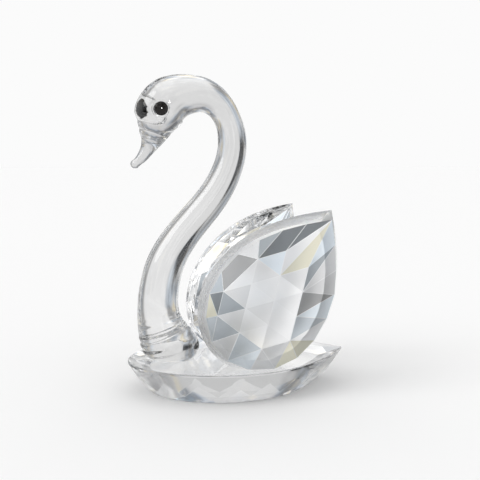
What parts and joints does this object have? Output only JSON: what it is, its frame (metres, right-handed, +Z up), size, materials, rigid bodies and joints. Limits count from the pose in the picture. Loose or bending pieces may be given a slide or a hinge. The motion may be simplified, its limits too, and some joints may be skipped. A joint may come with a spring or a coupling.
{
  "type": "glass swan figurine",
  "caption": "Clear glass swan figurine with a boat shaped cut base, a smooth bent neck and head, faceted upright wings and black bead eyes",
  "frame": {"origin": "middle of the underside, where the base rests on the table", "axes": "+Z up, the swan faces -X, its left side is -Y"},
  "size_m": [0.0582, 0.0408, 0.08],
  "materials": {
    "base_glass": "clear, polished, cut below the rim",
    "neck_glass": "clear, fire polished, smooth",
    "wing_glass": "clear, polished, faceted",
    "eye_glass": "opaque brown black, glossy"
  },
  "bodies": {
    "root": {"base": "base_glass", "neck_and_head": "neck_glass", "wing_left": "wing_glass", "wing_right": "wing_glass", "eye_left": "eye_glass", "eye_right": "eye_glass"}
  },
  "joints": []
}
